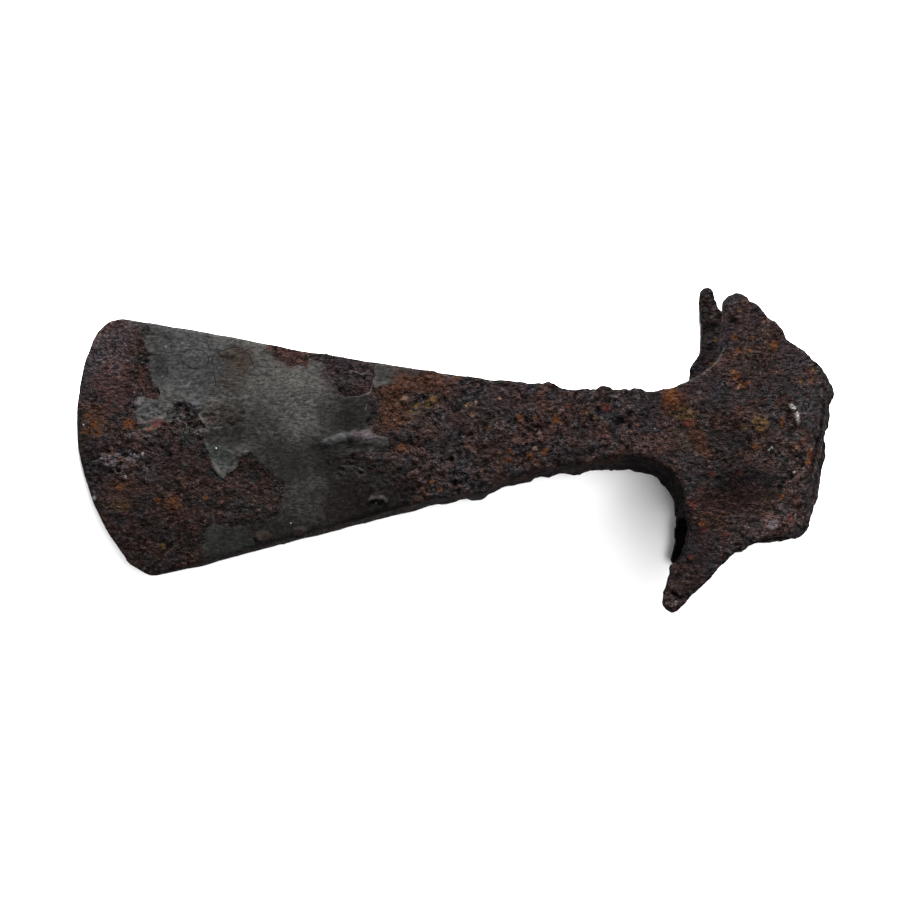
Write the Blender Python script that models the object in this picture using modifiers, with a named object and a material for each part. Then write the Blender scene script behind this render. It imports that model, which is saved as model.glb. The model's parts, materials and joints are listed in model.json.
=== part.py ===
"""Forged iron axe head with a shaft hole and four lugs, corroded, with two of the lugs broken short.

The head is modelled flat in its own frame: X runs from the bit (-X) to the butt (+X), Y runs along the
shaft hole, and Z runs across the cheeks. It is then pitched about Y, so that it lies on one cheek and
on its cutting edge, with the ground at Z = 0.
"""

import math

import bmesh
import bpy

MM = 0.001

# Shaft hole, in millimetres: a D with its flat wall towards the blade, where it is slightly narrower.
HOLE_FRONT = -12.0
HOLE_BACK = 12.0
HOLE_ROUND_START = 3.0
HOLE_HALF_WIDTH = 12.5
HOLE_FRONT_HALF_WIDTH = 12.1

# Half widths of the head across its cheeks, at places along it measured from the middle of the
# shaft hole, in millimetres. The neck flares out to the cheeks, which stay flat as far as the butt.
BIT_X, BIT_HALF = -172.2, 0.9
BEVEL_X, BEVEL_HALF = -163.0, 1.6
NECK_FLARE = [(-34.0, 10.2), (-26.0, 12.2), (-19.0, 15.3)]
CHEEK_FRONT_X, CHEEK_FRONT_HALF = -12.0, 16.9
CHEEK_FLAT_X, CHEEK_HALF = -5.0, 17.2
CHEEK_BACK_X = 4.5
BUTT_X = 16.1

# Cutting edge: an arc of a circle, from its upper to its lower corner.
BIT_ARC_CENTRE = (-115.9, -10.4)
BIT_ARC_RADIUS = 56.3
BIT_ARC_FROM = 172.0
BIT_ARC_TO = 229.0

# Arches between the neck and the lugs: each one's centre and radius, then where its arc starts and
# ends in degrees. The near ones are on the cheek that faces up.
UPPER_ARCH_NEAR = ((-31.9, 26.9), 18.8, -78.0, -28.0)
UPPER_ARCH_FAR = ((-27.8, 19.6), 10.8, -90.0, 0.0)
LOWER_ARCH_NEAR = ((-30.3, -21.1), 12.2, 90.0, 0.0)
LOWER_ARCH_FAR = ((-26.3, -20.3), 11.2, 90.0, 0.0)

# Wear, in millimetres, with the angle in degrees above which an edge is rounded.
EDGE_ROUNDING = 1.8
ROUNDED_ANGLE = 50.0
VOXEL = 0.8
WASTING_DEPTH = 0.9
WASTING_SCALE = 14.0
REST_FLAT_DEPTH = 0.35

# Share of the skin's faces that the shape needs.
KEPT_SHARE = 0.075

# Finish of the corroded iron.
IRON_COLOUR = (0.035, 0.026, 0.023, 1.0)
IRON_ROUGHNESS = 0.72
IRON_METALLIC = 0.15

# Working values: how far shapes are swept past the head, in millimetres, then two lengths in metres.
SWEEP_REACH = 70.0
CHEEK_SLAB = 30.0
CHEEK_OVERLAP = 0.5
WELD_DISTANCE = 1e-6
GROUND_SIZE = 0.4

# Blade outline between the cutting edge and the neck, each list running away from the bit.
BLADE_TOP = [
    (-170.3, 1.2),
    (-168.2, 4.1),
    (-165.0, 5.3),
    (-144.0, 5.2),
    (-112.0, 4.3),
    (-77.0, 4.3),
    (-62.0, 5.1),
    (-54.0, 6.2),
    (-51.0, 5.1),
    (-43.5, 6.3),
    (-33.0, 7.7),
]
BLADE_BOTTOM = [
    (-149.9, -56.1),
    (-144.2, -58.1),
    (-138.0, -55.5),
    (-77.0, -27.1),
    (-66.6, -23.6),
    (-62.0, -20.4),
    (-47.5, -13.9),
    (-42.5, -13.0),
    (-40.0, -11.3),
    (-31.0, -9.4),
]

# Lug outlines, each list running from the arch to the butt.
UPPER_LUG_NEAR = [
    (-15.4, 24.0),
    (-15.9, 31.5),
    (-15.0, 33.8),
    (-12.4, 34.1),
    (-11.2, 32.8),
    (-8.5, 32.6),
    (-6.0, 30.2),
    (-1.4, 27.2),
    (0.3, 24.7),
    (3.8, 23.6),
    (6.8, 21.4),
    (10.4, 19.5),
]
UPPER_LUG_FAR = [
    (-18.0, 20.6),
    (-15.3, 25.5),
    (-16.6, 33.0),
    (-18.2, 41.6),
    (-17.5, 43.6),
    (-15.2, 43.8),
    (-13.5, 39.8),
    (-12.7, 38.0),
    (-10.9, 37.6),
    (-6.0, 33.0),
    (-1.0, 27.0),
    (4.0, 23.4),
    (10.4, 19.6),
]
LOWER_LUG_NEAR = [
    (-17.2, -23.4),
    (-16.8, -26.1),
    (-16.9, -30.6),
    (-19.3, -34.8),
    (-20.1, -43.6),
    (-17.0, -45.8),
    (-14.3, -42.2),
    (-6.8, -31.4),
    (-5.3, -28.9),
    (-0.5, -25.6),
    (5.0, -23.0),
    (10.9, -21.8),
    (13.0, -20.2),
]
LOWER_LUG_FAR = [
    (-15.6, -22.0),
    (-14.4, -25.5),
    (-15.2, -30.5),
    (-12.6, -31.8),
    (-9.0, -29.4),
    (-5.0, -27.6),
    (0.0, -24.6),
    (7.7, -21.4),
    (12.8, -20.2),
]
BUTT = [
    (12.6, 17.4),
    (14.6, 14.8),
    (15.9, 10.5),
    (17.0, 4.0),
    (16.6, -4.0),
    (15.0, -11.0),
    (13.4, -17.0),
]

# Openings between the two upper and the two lower lugs, in front of the shaft hole.
UPPER_GAP = [
    (-30.0, 60.0),
    (-30.0, 17.5),
    (-18.0, 17.5),
    (-15.0, 15.5),
    (-11.5, 12.0),
    (-11.5, 60.0),
]
LOWER_GAP = [
    (-30.0, -60.0),
    (-30.0, -21.0),
    (-17.5, -21.0),
    (-14.0, -19.0),
    (-11.5, -15.0),
    (-11.5, -60.0),
]

HEAD_COLLECTION = "axe_head"
CUTTER_COLLECTION = "axe_head_cutters"


def clear_scene():
    for item in list(bpy.data.objects):
        bpy.data.objects.remove(item, do_unlink=True)
    for name in (HEAD_COLLECTION, CUTTER_COLLECTION):
        bpy.context.scene.collection.children.link(bpy.data.collections.new(name))


def as_cutter(item):
    item.hide_render = True
    item.display_type = "WIRE"
    bpy.data.collections[CUTTER_COLLECTION].objects.link(item)
    return item


def evaluated(item):
    bpy.context.view_layer.update()
    return item.evaluated_get(bpy.context.evaluated_depsgraph_get())


def arc(centre, radius_x, radius_y, start, end, steps):
    """Points on an ellipse's arc, both ends included, with its parameter's range in degrees."""
    points = []
    for step in range(steps + 1):
        angle = math.radians(start + (end - start) * step / steps)
        points.append((centre[0] + radius_x * math.cos(angle), centre[1] + radius_y * math.sin(angle)))
    return points


def drawn_outline(name, outline, thickness):
    """A flat outline in X and Y as a 2D curve, filled and thickened about Z = 0."""
    curve = bpy.data.curves.new(name, "CURVE")
    curve.dimensions = "2D"
    curve.fill_mode = "BOTH"
    curve.extrude = thickness / 2 * MM
    spline = curve.splines.new("POLY")
    spline.points.add(len(outline) - 1)
    spline.use_cyclic_u = True
    for point, (x, y) in zip(spline.points, outline):
        point.co = (x * MM, y * MM, 0.0, 1.0)
    return as_cutter(bpy.data.objects.new(name + "_curve", curve))


def swept(name, outline, low, high, across_y=False):
    """A closed mesh: the outline swept from low to high along Z, or a side view swept along Y."""
    drawn = drawn_outline(name, outline, high - low)
    middle = (low + high) / 2 * MM
    if across_y:
        drawn.rotation_euler.x = math.pi / 2
        drawn.location.y = middle
    else:
        drawn.location.z = middle
    mesh = bpy.data.meshes.new_from_object(evaluated(drawn))
    mesh.transform(drawn.matrix_world)
    bpy.data.objects.remove(drawn, do_unlink=True)

    shape = bmesh.new()
    shape.from_mesh(mesh)
    bmesh.ops.remove_doubles(shape, verts=shape.verts, dist=WELD_DISTANCE)
    bmesh.ops.recalc_face_normals(shape, faces=shape.faces)
    shape.to_mesh(mesh)
    shape.free()
    return bpy.data.objects.new(name, mesh)


def boolean(item, other, operation):
    step = item.modifiers.new(operation.lower() + "_" + other.name, "BOOLEAN")
    step.operation = operation
    step.object = other
    step.solver = "EXACT"


def side_profile():
    """The head seen along the shaft hole: a long wedge that flares into the rounded eye."""
    edge = [(BIT_X, BIT_HALF), (BEVEL_X, BEVEL_HALF)]
    cheek = [(CHEEK_FRONT_X, CHEEK_FRONT_HALF), (CHEEK_FLAT_X, CHEEK_HALF)]
    upper = edge + NECK_FLARE + cheek
    butt = arc((CHEEK_BACK_X, 0.0), BUTT_X - CHEEK_BACK_X, CHEEK_HALF, 90.0, -90.0, 20)
    return upper + butt + [(x, -z) for x, z in reversed(upper)]


def hole_profile():
    back = arc((HOLE_ROUND_START, 0.0), HOLE_BACK - HOLE_ROUND_START, HOLE_HALF_WIDTH, 90.0, -90.0, 18)
    return [(HOLE_FRONT, HOLE_FRONT_HALF_WIDTH)] + back + [(HOLE_FRONT, -HOLE_FRONT_HALF_WIDTH)]


def round_arc(centre, radius, start, end, steps):
    return arc(centre, radius, radius, start, end, steps)


def plan(upper_arch, upper_lug, lower_arch, lower_lug):
    """The head seen across its cheeks, all the way round, with the arches and lugs of one cheek."""
    bit = round_arc(BIT_ARC_CENTRE, BIT_ARC_RADIUS, BIT_ARC_TO, BIT_ARC_FROM, 14)
    upper = BLADE_TOP + round_arc(*upper_arch, 6) + upper_lug
    lower = BLADE_BOTTOM + round_arc(*lower_arch, 6) + lower_lug
    return upper + BUTT + list(reversed(lower)) + bit


def forge(head):
    """Meets the side profile with the plan of each cheek."""
    far_plan = plan(UPPER_ARCH_FAR, UPPER_LUG_FAR, LOWER_ARCH_FAR, LOWER_LUG_FAR)
    near_plan = plan(UPPER_ARCH_NEAR, UPPER_LUG_NEAR, LOWER_ARCH_NEAR, LOWER_LUG_NEAR)
    far = as_cutter(swept("far_cheek", far_plan, -CHEEK_SLAB, CHEEK_OVERLAP))
    near = as_cutter(swept("near_cheek", near_plan, -CHEEK_OVERLAP, CHEEK_SLAB))
    near.parent = head
    far.parent = head
    boolean(near, far, "UNION")
    boolean(head, near, "INTERSECT")


def corrode(head):
    """Rounds the edges, wastes the surface unevenly and keeps only the faces that the shape needs."""
    rounding = head.modifiers.new("rounding", "BEVEL")
    rounding.width = EDGE_ROUNDING * MM
    rounding.segments = 2
    rounding.limit_method = "ANGLE"
    rounding.angle_limit = math.radians(ROUNDED_ANGLE)
    skin = head.modifiers.new("skin", "REMESH")
    skin.mode = "VOXEL"
    skin.voxel_size = VOXEL * MM
    skin.use_smooth_shade = True
    soften = head.modifiers.new("soften", "SMOOTH")
    soften.factor = 0.5
    soften.iterations = 3
    clouds = bpy.data.textures.new("wasting", "CLOUDS")
    clouds.noise_scale = WASTING_SCALE * MM
    clouds.noise_depth = 2
    wasting = head.modifiers.new("wasting", "DISPLACE")
    wasting.texture = clouds
    wasting.texture_coords = "LOCAL"
    wasting.strength = WASTING_DEPTH * MM
    thin = head.modifiers.new("thin", "DECIMATE")
    thin.ratio = KEPT_SHARE


def pierce(head):
    """Cuts the shaft hole, and the openings between the lugs, which the hole's front wall leaves shut."""
    hole = swept("shaft_hole", hole_profile(), -SWEEP_REACH, SWEEP_REACH, across_y=True)
    upper_gap = swept("upper_gap", UPPER_GAP, -HOLE_HALF_WIDTH, HOLE_HALF_WIDTH)
    lower_gap = swept("lower_gap", LOWER_GAP, -HOLE_HALF_WIDTH, HOLE_HALF_WIDTH)
    for opening in (hole, upper_gap, lower_gap):
        as_cutter(opening).parent = head
        boolean(head, opening, "DIFFERENCE")


def lie_down(head):
    """Lays the head on one cheek and its cutting edge, and wears a small flat where each one rests."""
    pitch = math.atan2(CHEEK_FRONT_HALF - BIT_HALF, CHEEK_FRONT_X - BIT_X)
    head.rotation_euler.y = -pitch
    worn = evaluated(head)
    lowest = min((worn.matrix_world @ vertex.co).z for vertex in worn.data.vertices)
    head.location.z = -lowest - REST_FLAT_DEPTH * MM

    bpy.ops.mesh.primitive_cube_add(size=GROUND_SIZE, location=(0.0, 0.0, -GROUND_SIZE / 2))
    ground = bpy.context.object
    ground.name = "ground"
    for collection in list(ground.users_collection):
        collection.objects.unlink(ground)
    boolean(head, as_cutter(ground), "DIFFERENCE")

    resting = evaluated(head)
    corners = [resting.matrix_world @ vertex.co for vertex in resting.data.vertices]
    head.location.x = -(min(c.x for c in corners) + max(c.x for c in corners)) / 2
    head.location.y = -(min(c.y for c in corners) + max(c.y for c in corners)) / 2


def iron():
    material = bpy.data.materials.new("corroded_iron")
    material.use_nodes = True
    shader = material.node_tree.nodes["Principled BSDF"]
    shader.inputs["Base Color"].default_value = IRON_COLOUR
    shader.inputs["Roughness"].default_value = IRON_ROUGHNESS
    shader.inputs["Metallic"].default_value = IRON_METALLIC
    return material


def main():
    clear_scene()
    head = swept("axe_head", side_profile(), -SWEEP_REACH, SWEEP_REACH, across_y=True)
    head.data.materials.append(iron())
    bpy.data.collections[HEAD_COLLECTION].objects.link(head)
    forge(head)
    corrode(head)
    pierce(head)
    lie_down(head)


main()
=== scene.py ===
"""Looks of the corroded axe head: its fine relief, finish, floor, light and camera, around the frame.

Lengths are in millimetres in the head's own frame, unless a name says otherwise. X runs from the bit to
the butt, Y along the shaft hole and Z across the cheeks, and the middle of the shaft hole is the origin.
The near cheek is the one that faces up, and the head is pitched about Y to lie on the far one.
"""

import itertools
import json
import math

import bpy
import numpy as np
from mathutils import Euler, Matrix, Vector


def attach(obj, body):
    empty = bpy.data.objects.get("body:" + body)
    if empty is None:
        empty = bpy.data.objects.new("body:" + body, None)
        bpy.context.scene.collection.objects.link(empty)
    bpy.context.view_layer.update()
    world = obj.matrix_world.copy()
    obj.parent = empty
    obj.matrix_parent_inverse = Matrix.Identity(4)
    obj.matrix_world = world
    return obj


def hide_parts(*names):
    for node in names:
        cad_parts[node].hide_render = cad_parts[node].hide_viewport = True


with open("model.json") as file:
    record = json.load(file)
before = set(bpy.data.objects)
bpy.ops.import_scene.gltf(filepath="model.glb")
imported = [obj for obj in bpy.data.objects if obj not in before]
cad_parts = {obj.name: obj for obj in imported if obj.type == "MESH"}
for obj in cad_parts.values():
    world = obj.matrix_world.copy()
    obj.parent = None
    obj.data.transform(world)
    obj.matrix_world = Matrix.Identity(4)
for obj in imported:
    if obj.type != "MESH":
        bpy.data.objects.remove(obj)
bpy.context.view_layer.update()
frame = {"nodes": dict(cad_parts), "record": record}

MM = 0.001
NODE = "axe_head"
PIECE = "corroded_axe_head"
SLOT = "corroded_iron"

# The mount on the hole's front wall gives the head's pitch and the middle of the shaft hole, which lies
# this far behind the mount and to its side.
SEAT = "haft_seat"
SEAT_FROM_MIDDLE = (12.0, 1.65)

# The haft's direction leans right of the picture's upright by this much.
SLANT = math.radians(10.0)

# Mesh sizes. Most of the triangles go to the near cheek.
VOXEL = 0.34
SMOOTHING = 0.5
SMOOTHING_TURNS = 22
TRIANGLES = 194000
NEAR_WEIGHT = 0.5
WEIGHT_STRENGTH = 0.0002

# From this much of the upward direction on, a surface counts as part of the near cheek.
NEAR_FACING = 0.3

# How many times brighter the studio's light shows a colour than the colour itself, and the power that
# turns a change in how light it looks into one in the colour.
LIGHT_LEVEL = 2.8
SCREEN_POWER = 2.2

# The smooth skin catches more of that light than the rough rust, so its colours are made darker.
SKIN_SHADE = 0.82

# Colours as they look in that light, from 0 to 255.
COLOURS = {
    "red brown": (60, 40, 37),
    "brown": (58, 43, 36),
    "dark brown": (34, 26, 24),
    # Dark also draws painted shadows along folds and under a ridge.
    "dark": (16, 13, 12),
    # Black is also laid on as painted shade on walls, nooks and small hollows.
    "black": (6, 5, 5),
    "slate": (47, 45, 47),
    "purple": (52, 42, 46),
    "lavender": (104, 94, 99),
    "skin grey": (80, 79, 76),
    "low grey": (40, 38, 36),
    "green grey": (48, 54, 50),
    "umber": (66, 54, 46),
    "orange": (98, 60, 36),
    "rust orange": (76, 49, 36),
    "bright orange": (112, 60, 28),
    "olive": (66, 54, 30),
    "red": (84, 44, 40),
    "ochre": (96, 74, 44),
    "tan": (132, 104, 86),
    "pink": (92, 70, 66),
    # Pale grey for painted glints and painted highlights on raised plates and a ridge.
    "painted glint": (150, 148, 146),
    "flake grey": (96, 100, 98),
    "bluish": (70, 71, 74),
    "teal": (50, 58, 56),
    # White for painted glints.
    "white": (240, 238, 232),
    # Pale also draws painted highlights on folds and along a flake's rim.
    "pale": (122, 118, 114),
    "plain rust": (56, 46, 44),
    "warm rust": (67, 48, 43),
    "blue rust": (45, 43, 45),
    "pale rust": (72, 62, 62),
    "deep rust": (36, 28, 26),
    "bright rust": (92, 58, 38),
    # Painted shade for the rust's low places.
    "pit": (16, 12, 11),
    "dull skin": (68, 67, 65),
    "bright skin": (82, 81, 78),
    "brown skin": (68, 63, 59),
    "dent": (44, 40, 38),
}

# The rust's patches, each laid over those before it: colour, size, layers and shift of the noise that
# places it, and the noise values between which it fades in.
RUST_PATCHES = [
    ("warm rust", 6.0, 4, 0.0, 0.42, 0.6),
    ("blue rust", 4.1, 4, 20.0, 0.48, 0.6),
    ("pale rust", 2.4, 4, 40.0, 0.54, 0.7),
    ("deep rust", 2.6, 4, 80.0, 0.5, 0.66),
    ("bright rust", 1.7, 3, 60.0, 0.62, 0.78),
]

# Roughness of the rust and the skin and how far it varies, their small gloss, and the fine bumps of the
# material: height in metres, and the skin's share of it.
RUST_ROUGHNESS = 0.85
SKIN_ROUGHNESS = 0.78
ROUGHNESS_SPREAD = 0.12
GLOSS = 0.02
BUMP_HEIGHT = 0.0035
SKIN_BUMP = 0.18

# The rust's relief: size and height of its broad unevenness, lumps, scabs, grain and pits, and the shares
# of the cells that hold a scab or a pit.
CRUST = (7.0, 0.4)
LUMPS = (1.3, 0.55)
SCABS = (3.8, 0.4)
GRAIN = (1.5, 0.4)
PITS = (3.2, 0.4)
SCAB_SHARE = 0.4
PIT_SHARE = 0.2

# The skin's relief: how far it stands above the rust, how much higher its rim is, and size and height of
# its waves and its brush marks. The folds are the crossing creases of a wrinkled place.
SKIN_RAISED = 0.1
SKIN_RIM = 0.1
WAVES = (9.0, 0.09)
BRUSH_MARKS = (1.6, 0.03)
FOLDS = (1.7, 0.45)

# Stretches in X over which the relief changes: from the blade to the neck, along the head's long edges,
# and from the neck to the eye.
BLADE_END = (-100.0, -80.0)
EDGE_END = (-72.0, -52.0)
EYE_START = (-36.0, -26.0)

# Painted shade on walls that get little light: how much darker, softness of the rim, x, y, half length and
# half width.
# They are those of the lower arch, the upper arch and the eye's lower end.
PAINTED_SHADE_NOOKS = [
    (0.65, 0.3, -28.0, -26.0, 15.0, 20.0),
    (0.48, 0.5, -21.0, 16.0, 9.0, 9.0),
    (0.6, 0.5, 5.0, -27.0, 15.0, 5.0),
]
# Painted shade on the head's sides, more on those that face towards -Y.
SIDE_PAINTED_SHADE = 0.05
LOWER_SIDE_PAINTED_SHADE = 0.2

# Smooth grey skin that is left on the near cheek. The rest has rusted rough.
SKIN = [
    (-158.5, 12.0), (-158.0, 4.9), (-157.0, 3.0), (-157.7, -0.3), (-156.4, -2.4), (-155.4, -4.2),
    (-155.3, -6.2), (-153.7, -9.6), (-151.7, -11.0), (-150.9, -12.3), (-151.5, -14.4), (-156.5, -15.2),
    (-155.9, -17.9), (-154.4, -20.8), (-153.0, -23.5), (-150.0, -23.0), (-148.5, -19.0), (-147.1, -15.0),
    (-143.0, -14.0), (-140.2, -15.5), (-138.5, -18.5), (-137.0, -23.0), (-134.4, -27.7), (-132.2, -29.8),
    (-130.7, -30.7), (-127.9, -28.0), (-127.5, -24.6), (-125.3, -23.3), (-121.9, -25.9), (-118.6, -27.0),
    (-115.5, -29.6), (-114.6, -33.8), (-115.2, -37.9), (-119.0, -40.6), (-124.4, -42.0), (-127.5, -43.8),
    (-131.2, -41.0), (-131.8, -44.6), (-132.0, -49.8), (-128.0, -62.0), (-86.0, -42.0), (-86.0, -32.2),
    (-86.2, -28.4), (-89.2, -25.9), (-90.1, -23.5), (-96.7, -23.4), (-101.1, -22.8), (-100.4, -20.2),
    (-95.2, -18.0), (-91.5, -16.1), (-92.5, -14.5), (-96.0, -13.6), (-97.8, -12.1), (-98.2, -8.8),
    (-98.7, -5.8), (-98.1, -2.6), (-94.7, -1.3), (-90.2, 0.5), (-87.5, 2.2), (-87.1, 4.4), (-87.0, 12.0),
]

# Rust that has broken through the near skin at its upper edge.
BREAK = [
    (-127.5, 5.0), (-125.0, 3.2), (-122.9, 1.3), (-119.7, 0.0), (-116.3, -0.1), (-115.6, 2.0),
    (-111.4, 2.4), (-110.0, 0.2), (-108.3, -2.4), (-107.0, -4.0), (-104.5, -5.9), (-100.6, -5.4),
    (-98.1, -3.6), (-98.2, 0.5), (-99.0, 9.0), (-127.5, 9.0),
]

# What is left of the skin on the far cheek.
FAR_SKIN = [
    (-150.0, 12.0), (-146.0, -4.0), (-152.0, -16.0), (-140.0, -30.0), (-121.0, -34.0), (-112.0, -24.0),
    (-98.0, -30.0), (-92.0, -18.0), (-101.0, -8.0), (-90.0, 0.0), (-92.0, 12.0),
]

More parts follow.
